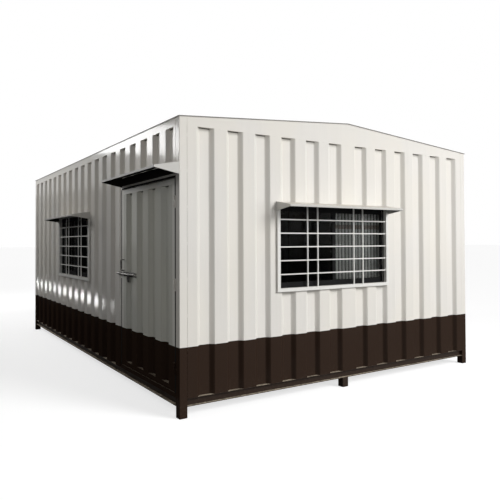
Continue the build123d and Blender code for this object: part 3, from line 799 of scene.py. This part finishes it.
end_window = moved((end_window_x, front, window_level))
window_turns = (end_window, moved((left, side_window_y, window_level)) @ left_turn)
bar_rows = [(row - 2) * 2 * half_height / 6 for row in range(5)]
bar_columns = [pair * bar_pair_middle + side * bar_off_pair for pair in (-1, 1) for side in (-1, 1)]
eighth_turn = turned(45, "Y")
blob = weld_bead(blob_length, blob_width)
places = []
for turn, side in ((turn, side) for turn in window_turns for side in (-1, 1)):
    off, end_x, end_z = side * blob_off_bar, side * (half_width - bar_end), side * (half_height - bar_end)
    crossings = [moved((column + off, -blob_off_bar, row + off)) for row in bar_rows for column in bar_columns]
    places += [turn @ crossing @ eighth_turn for crossing in crossings]
    places += [turn @ moved((end_x, bar_face, row)) for row in bar_rows]
    places += [turn @ moved((column, bar_face, end_z)) @ along_x for column in bar_columns]
set_out(blob, places, "grille_welds", window_enamel)

# Sashes. Two sliding aluminium sashes in each window, powder-coated black, running in a track of the same. A black
# rubber gasket holds each pane, and a latch stands on the stile where the sashes meet.
sash_stile, sash_rail, sash_overlap = 0.034, 0.050, 0.017
track_face, outer_pane, inner_pane, latch_seat = 0.0275, 0.033, 0.050, 0.064

black_coat, grey_coat = (0.008, 0.008, 0.0085, 1), (0.016, 0.016, 0.0165, 1)
black_rubber, grey_rubber = (0.007, 0.007, 0.007, 1), (0.016, 0.016, 0.015, 1)
sheen = {specular: 0.05}
sash_coat = mottled("sash_powder_coat", (900.0, 1.0), black_coat, grey_coat, 0.00003, 0.60, sheen)
paint(sash_coat, "end_window_sashes", "side_window_sashes")

sheen = {specular: 0.08}
# black rubber for the gaskets and the door's stop, and also for the black strips that are painted shade round the
# door's gap
rubber_and_shade = mottled("gasket_rubber_and_shade", (40.0, 3.0), black_rubber, grey_rubber, 0.0001, 0.75, sheen)


def ring(width, height, border, deep, edge):
    """A flat ring about the origin in the plane of a wall, standing out towards -Y, with eased front edges."""
    bpy.ops.mesh.primitive_plane_add(size=1, rotation=(math.radians(90), 0, 0))
    bpy.ops.object.transform_apply(location=False, rotation=True, scale=False)
    piece = started()
    resize((width, 1, height))
    bpy.ops.mesh.inset(thickness=border, depth=0)
    bpy.ops.mesh.delete(type="FACE")
    pick(piece, "FACE")
    extrude((0, -deep, 0))
    ease(piece, edge, 2, lambda part: all(point.co.y < -deep / 2 for point in part.verts) and not diagonal(part))
    bpy.ops.mesh.select_all(action="SELECT")
    bpy.ops.mesh.normals_make_consistent(inside=False)
    return settle(piece, "ring")


def diagonal(part):
    """Whether an edge runs across a corner of a ring, and so isn't one of its sides."""
    way = part.verts[0].co - part.verts[1].co
    return abs(way.x) > 1e-4 and abs(way.z) > 1e-4


pane_width = half_width + sash_overlap - 2 * sash_stile
pane_height = 2 * (half_height - sash_rail)
pane_middle = (half_width - sash_overlap) / 2
gasket = ring(pane_width, pane_height, 0.006, 0.0045, 0.0015)
track = ring(2 * half_width, 2 * half_height, 0.012, 0.008, 0.001)
panes = ((-pane_middle, outer_pane, 0), (pane_middle, inner_pane, 0))
places = [turn @ moved(pane) for turn in window_turns for pane in panes]
set_out(gasket, places, "pane_gaskets", rubber_and_shade)
places = [turn @ moved((0, track_face, 0)) for turn in window_turns]
set_out(track, places, "sash_tracks", sash_coat)

latch = block((0.018, 0.008, 0.060))
draw_out(latch, 0.004, (0, 0.006, 0), lambda part: part.normal.y > 0.9)
pick(latch, "FACE", lambda part: part.normal.z > 0.9 and part.calc_center_median().y > 0.005)
extrude((0, 0.004, 0.022))
ease(latch, 0.0012, 2)
places = [turn @ moved((0, latch_seat, 0)) for turn in window_turns]
set_out(latch, places, "sash_latches", sash_coat)

# Panes. Clear float glass, held in the sashes, with a thin film of dust. They are tinted nearly black and let little
# lamp light in, as painted shade of the dark room; the right-hand end pane, before a pale curtain, is tinted pale.
curtain_from = -0.03
shaded_pane, lit_pane = (0.15, 0.157, 0.153, 1), (0.55, 0.56, 0.55, 1)

glass, tree, place = new_finish("window_glass")
film = noise(tree, place, 4.0, 4.0, 0.6, stretch=(2.0, 2.0, 1.0))
rough = spread(tree, film, 0.35, 0.8, 0.01, 0.05)
# painted shade: away from the curtain the glass is tinted dark and lets little lamp light through
before_curtain = reckon(tree, "GREATER_THAN", parts_of(tree, place)["X"], curtain_from)
tint = tinted(tree, before_curtain, shaded_pane, lit_pane)
tint = tinted(tree, times(tree, film, 0.3), tint, (0.30, 0.30, 0.29, 1))
pane = {"Base Color": tint, "Roughness": rough, "Transmission Weight": 1.0, "IOR": 1.13}
pane = wire(tree, "ShaderNodeBsdfPrincipled", pane)
let_in = tinted(tree, before_curtain, (0.035, 0.036, 0.036, 1), lit_pane)
clear = wire(tree, "ShaderNodeBsdfTransparent", {"Color": let_in})
lamp_ray = wire(tree, "ShaderNodeLightPath").outputs["Is Shadow Ray"]
dress(tree, wire(tree, "ShaderNodeMixShader", {0: lamp_ray, 1: pane.outputs[0], 2: clear.outputs[0]}))
paint(glass, "end_window_glass", "side_window_glass")

# Hoods. Folded steel sheet over both windows and the door, with closed cheeks, welded to the wall. They are white
# enamel above; their undersides and the inner sides of the far cheeks are painted near black, as painted shade.
hood_white = (0.60, 0.59, 0.56, 1)
hood_painted_shade = (0.020, 0.0195, 0.017, 1)
side_hood_middle, door_hood_middle = 0.56, front + 0.80
paint(trim_enamel("end_hood_enamel", hood_white, hood_painted_shade), "end_window_canopy")
paint(trim_enamel("side_hood_enamel", hood_white, hood_painted_shade, side_hood_middle), "side_window_canopy")
paint(trim_enamel("door_hood_enamel", hood_white, hood_painted_shade, door_hood_middle), "door_canopy")

# Shade over the door head. A thin near-black plate lies on the ribs over the door head, between the head and the
# door's hood, as painted shade where the hood's shade falls.
shade_plate_thickness = 0.003
shade_plate_low, shade_plate_high = 2.2235, 2.314
shade_plate_grey = (0.034, 0.032, 0.028, 1)
dull = {specular: 0.1}
shade_plate_finish = mottled("painted_shade_plate", (9.0, 3.0), hood_painted_shade, shade_plate_grey, 0.0002, 0.9, dull)
low = (left - shade_plate_thickness, front + 0.006, shade_plate_low)
high = (left + 0.0005, front + 1.484, shade_plate_high)
carry(settle(moulding(low, high, (-1, 0, 0)), "door_hood_shade_plate", shade_plate_finish))

# Curtain. Grey voile with a brown band across it, gathered in narrow pleats behind the right-hand sash, and painted
# darker deep in its pleats as painted shade. It hangs from gliders in the rail on a stitched heading tape, and stirs
# a little towards its hem.
curtain_low, curtain_high = (Vector(corner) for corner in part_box("end_curtain"))
pleats = 15
points_per_pleat = 10
curtain_rows = 44
curtain_top = curtain_high.z - 0.006
curtain_hem = curtain_low.z + 0.004
curtain_start, curtain_width = curtain_low.x + 0.004, curtain_high.x - curtain_low.x - 0.008
curtain_plane = (curtain_low.y + curtain_high.y) / 2
band_height = 1.755

voile, tree, place = new_finish("curtain_voile")
level = parts_of(tree, place)["Z"]
thread = noise(tree, place, 1.0, 2.0, stretch=(900.0, 900.0, 60.0))
slub = noise(tree, place, 1.0, 2.0, stretch=(20.0, 20.0, 300.0))
off_band = reckon(tree, "ABSOLUTE", reckon(tree, "SUBTRACT", level, band_height))
brown_band = spread(tree, off_band, 0.028, 0.020)
colour = tinted(tree, thread, (0.70, 0.70, 0.69, 1), (0.80, 0.80, 0.79, 1))
colour = tinted(tree, times(tree, slub, 0.25), colour, (0.55, 0.55, 0.55, 1))
colour = tinted(tree, times(tree, brown_band, 0.75), colour, (0.30, 0.21, 0.17, 1))
stitched = spread(tree, level, curtain_top - 0.028, curtain_top - 0.026)
colour = tinted(tree, times(tree, stitched, 0.35), colour, (0.45, 0.45, 0.44, 1))
# painted shade: the voile is darker where a pleat lies back from the curtain's middle plane
fold_depth = reckon(tree, "SUBTRACT", parts_of(tree, place)["Y"], curtain_plane)
colour = tinted(tree, spread(tree, fold_depth, -0.010, 0.010, 0.0, 0.90), colour, (0.07, 0.07, 0.068, 1))
surface(tree, times(tree, thread, 0.0002), colour, 0.9, {specular: 0.2})

columns = pleats * points_per_pleat
points, faces = [], []
for row in range(curtain_rows + 1):
    down = row / curtain_rows
    for column in range(columns + 1):
        turn = 2 * math.pi * pleats * column / columns
        own = math.sin(turn / pleats * 3.7 + 0.8)
        swing = 0.35 * down * math.sin(1.9 * turn / pleats + 2.4 * down)
        deep = 0.0125 + 0.0035 * down + 0.0020 * own
        along = curtain_start + curtain_width * column / columns
        along += 0.0075 * math.sin(2 * (turn + swing)) * (0.4 + 0.6 * down)
        back_off = curtain_plane + deep * math.sin(turn + swing)
        level = curtain_top + (curtain_hem - curtain_top) * down
        level += 0.003 * down * math.sin(turn * 0.37 + own)
        points.append((along, back_off, level))
for row in range(curtain_rows):
    for column in range(columns):
        start = row * (columns + 1) + column
        faces.append((start, start + columns + 1, start + columns + 2, start + 1))
mesh = bpy.data.meshes.new("pleated_curtain")
mesh.from_pydata(points, [], faces)
curtain = bpy.data.objects.new("pleated_curtain", mesh)
link(curtain)
alone(curtain)
thickness = curtain.modifiers.new("thickness", "SOLIDIFY")
thickness.thickness = 0.0008
bpy.ops.object.modifier_apply(modifier="thickness")
bpy.ops.object.shade_smooth()
settle(curtain, "pleated_curtain", voile)
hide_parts("end_curtain")
carry(curtain)

glider = block((0.006, 0.008, 0.010))
draw_out(glider, 0.0018, (0, 0, -0.010), lambda part: part.normal.z < -0.9)
ease(glider, 0.0006, 1)
glider_row = [curtain_start + curtain_width / pleats * (number + 0.5) for number in range(pleats)]
places = [moved((along, curtain_plane, curtain_high.z)) for along in glider_row]
gliders = set_out(glider, places, "curtain_gliders", window_enamel)

# Door. A welded tube leaf with a ribbed sheet, in the wall's two colours. The leaf's frame is painted a lighter
# white than its sheet, as a painted highlight on its rails; the sheet is a greyer, greener white. Black fillets lie
# across the tops of its ribs as painted shade, like the wall's, and a soft rubber strip runs round the stop behind
# it.
leaf_middle = front + 0.797
leaf_sheet_top = 2.126
frame_lit_white, leaf_white = (0.84, 0.83, 0.78, 1), (0.66, 0.66, 0.605, 1)
opening_low, opening_high = (front + 0.092, 0.218), (front + 1.502, 2.182)
stop_face = left + 0.050


def leaf_ribs(tree, place, way):
    """Where a point of the door's sheet lies between its four ribs."""
    off = reckon(tree, "SUBTRACT", parts_of(tree, place)["Y"], leaf_middle + rib_pitch / 2)
    return reckon(tree, "PINGPONG", off, rib_pitch / 2), way["X"]


# the leaf's frame is painted lighter than its sheet, as a painted highlight on its rails
door_enamel = wall_enamel("door_enamel", frame_lit_white, 0.0030, 0.00006, 0.09)
leaf_enamel = wall_enamel("leaf_enamel", leaf_white, 0.0030, 0.00006, 0.09, leaf_ribs, 0.40)
paint(door_enamel, "door_leaf_frame")
paint(leaf_enamel, "door_leaf_sheet")
# the same black fillets lie across the tops of the leaf's ribs, as painted shade
level = leaf_sheet_top - rib_top_strip_size.z / 2
ribs_off = (-1.5, -0.5, 0.5, 1.5)
places = [moved((left + rib_depth, leaf_middle + rib_pitch * n, level)) @ left_turn for n in ribs_off]
set_out(fillet, places, "leaf_rib_top_shade_strips", rib_top_shade, "door")

middle = moved((stop_face, (opening_low[0] + opening_high[0]) / 2, (opening_low[1] + opening_high[1]) / 2))
width, height = opening_high[0] - opening_low[0], opening_high[1] - opening_low[1]
strip = ring(width - 0.001, height - 0.001, 0.010, 0.0035, 0.0015)
set_out(strip, [middle @ left_turn], "door_stop_rubber", rubber_and_shade)

# Door gap shade. A black lining in the gap round the leaf, and flat black strips on the frame beside each upright
# edge of the leaf and along its head, cut round the hinges and the keeper, are painted shade in the dark gap.
shade_strip_width, shade_strip_thickness, shade_strip_lap = 0.020, 0.002, 0.003
hinge_side = ((0.218, 0.382), (0.496, 1.143), (1.257, 1.904), (2.018, 2.202))
bolt_side = ((0.218, 1.190), (1.290, 2.182))
gap_shade = ring(width, height, 0.002, 0.042, 0.0004)
set_out(gap_shade, [moved((0.001, 0, 0)) @ middle @ left_turn], "door_gap_shade_liner", rubber_and_shade)
shade_strips = []
for y, spans in ((opening_low[0] + shade_strip_lap, hinge_side), (opening_high[0] + shade_strip_width, bolt_side)):
    for low, high in spans:
        corner = (left - shade_strip_thickness, y - shade_strip_width, low)
        shade_strips.append(moulding(corner, (left, y, high), (-1, 0, 0)))
corner = (left - shade_strip_thickness, opening_low[0] + shade_strip_lap, opening_high[1] + 0.001)
shade_strips.append(moulding(corner, (left, opening_high[0], opening_high[1] + shade_strip_width), (-1, 0, 0)))
carry(joined(shade_strips, "door_edge_shade_strips", rubber_and_shade))

# Hinges. Three butt hinges with loose pins, painted over with the door. One wing of each is welded to the frame
# and the other to the leaf, with a short bead beside each.
paint(frame_enamel, "door_hinge_pins")
paint(door_enamel, "door_hinge_leaves")
hinge_axis = front + 0.095
hinge_heights = [0.439, 1.200, 1.961]
wing_reach, wing_middle = 0.038, 0.025
bead = weld_bead(0.036, 0.005)
for side, name, enamel, body in (
    (-1, "hinge_welds_on_frame", frame_enamel, "cabin"),
    (1, "hinge_welds_on_leaf", door_enamel, "door"),
):
    y, off = hinge_axis + side * wing_reach, side * wing_middle
    places = [moved((left - 0.0015, y, level + off)) for level in hinge_heights]
    set_out(bead, places, name, enamel, body, keep=side < 0)

# Bolt, keeper and pull. Bright zinc dulled by handling. The bolt's plate is riveted to the leaf, its guides hold a
# round bar, and the pull above it stands on two small feet.
bolt_height = 1.240
plate_face = left - 0.004
outer_guide, inner_guide = front + 1.430, front + 1.078
rivet_off_bar = 0.0175
pull_levels = (1.278, 1.398)

zinc, tree, place = new_finish("dull_zinc")
mottle = noise(tree, place, 60.0, 3.0, 0.6)
colour = tinted(tree, spread(tree, mottle, 0.35, 0.65), (0.55, 0.54, 0.52, 1), (0.12, 0.115, 0.105, 1))
hanging = spread(tree, parts_of(tree, place)["Z"], bolt_height - 0.010, bolt_height - 0.016)
colour = tinted(tree, times(tree, hanging, 0.85), colour, (0.045, 0.042, 0.036, 1))
rough = spread(tree, mottle, 0.3, 0.7, 0.32, 0.55)
surface(tree, times(tree, mottle, 0.00006), colour, rough, {"Metallic": 0.80})
paint(zinc, "door_bolt_plate", "door_bolt_bar", "door_bolt_keeper")

handled, tree, place = new_finish("handled_steel")
rubbed = noise(tree, place, 45.0, 3.0, 0.6)
colour = tinted(tree, spread(tree, rubbed, 0.4, 0.7), (0.20, 0.195, 0.18, 1), (0.42, 0.41, 0.39, 1))
rough = spread(tree, rubbed, 0.3, 0.7, 0.55, 0.35)
surface(tree, times(tree, rubbed, 0.0001), colour, rough, {"Metallic": 0.6})
paint(handled, "door_pull")

bpy.ops.mesh.primitive_uv_sphere_add(segments=12, ring_count=6, radius=0.0055)
rivet = started()
bpy.ops.mesh.bisect(plane_co=(0, 0, 0), plane_no=(0, 0, 1), clear_inner=True, use_fill=True)
pick(rivet, "VERT")
resize((1, 1, 0.5))
pick(rivet, "FACE", lambda part: part.normal.z < -0.9)
extrude((0, 0, -0.001))
bpy.ops.object.mode_set(mode="OBJECT")
bpy.ops.object.shade_smooth_by_angle(angle=math.radians(40))
rivet_rows = [inner_guide + 0.176 * third for third in (0.18, 1.0, 1.82)]
outward = turned(-90, "Y")
rivet_levels = (bolt_height - rivet_off_bar, bolt_height + rivet_off_bar)
places = [moved((plate_face, y, level)) @ outward for y in rivet_rows for level in rivet_levels]
set_out(rivet, places, "bolt_rivets", zinc, "door")

bpy.ops.mesh.primitive_cylinder_add(vertices=20, radius=0.011, depth=0.003)
foot = started()
draw_out(foot, 0.003, (0, 0, 0.0025), lambda part: part.normal.z > 0.9)
ease(foot, 0.0006, 2, lambda part: part.calc_face_angle(0) > 1.2)
places = [moved((left - 0.0015, outer_guide, level)) @ outward for level in pull_levels]
set_out(foot, places, "pull_feet", handled, "door")
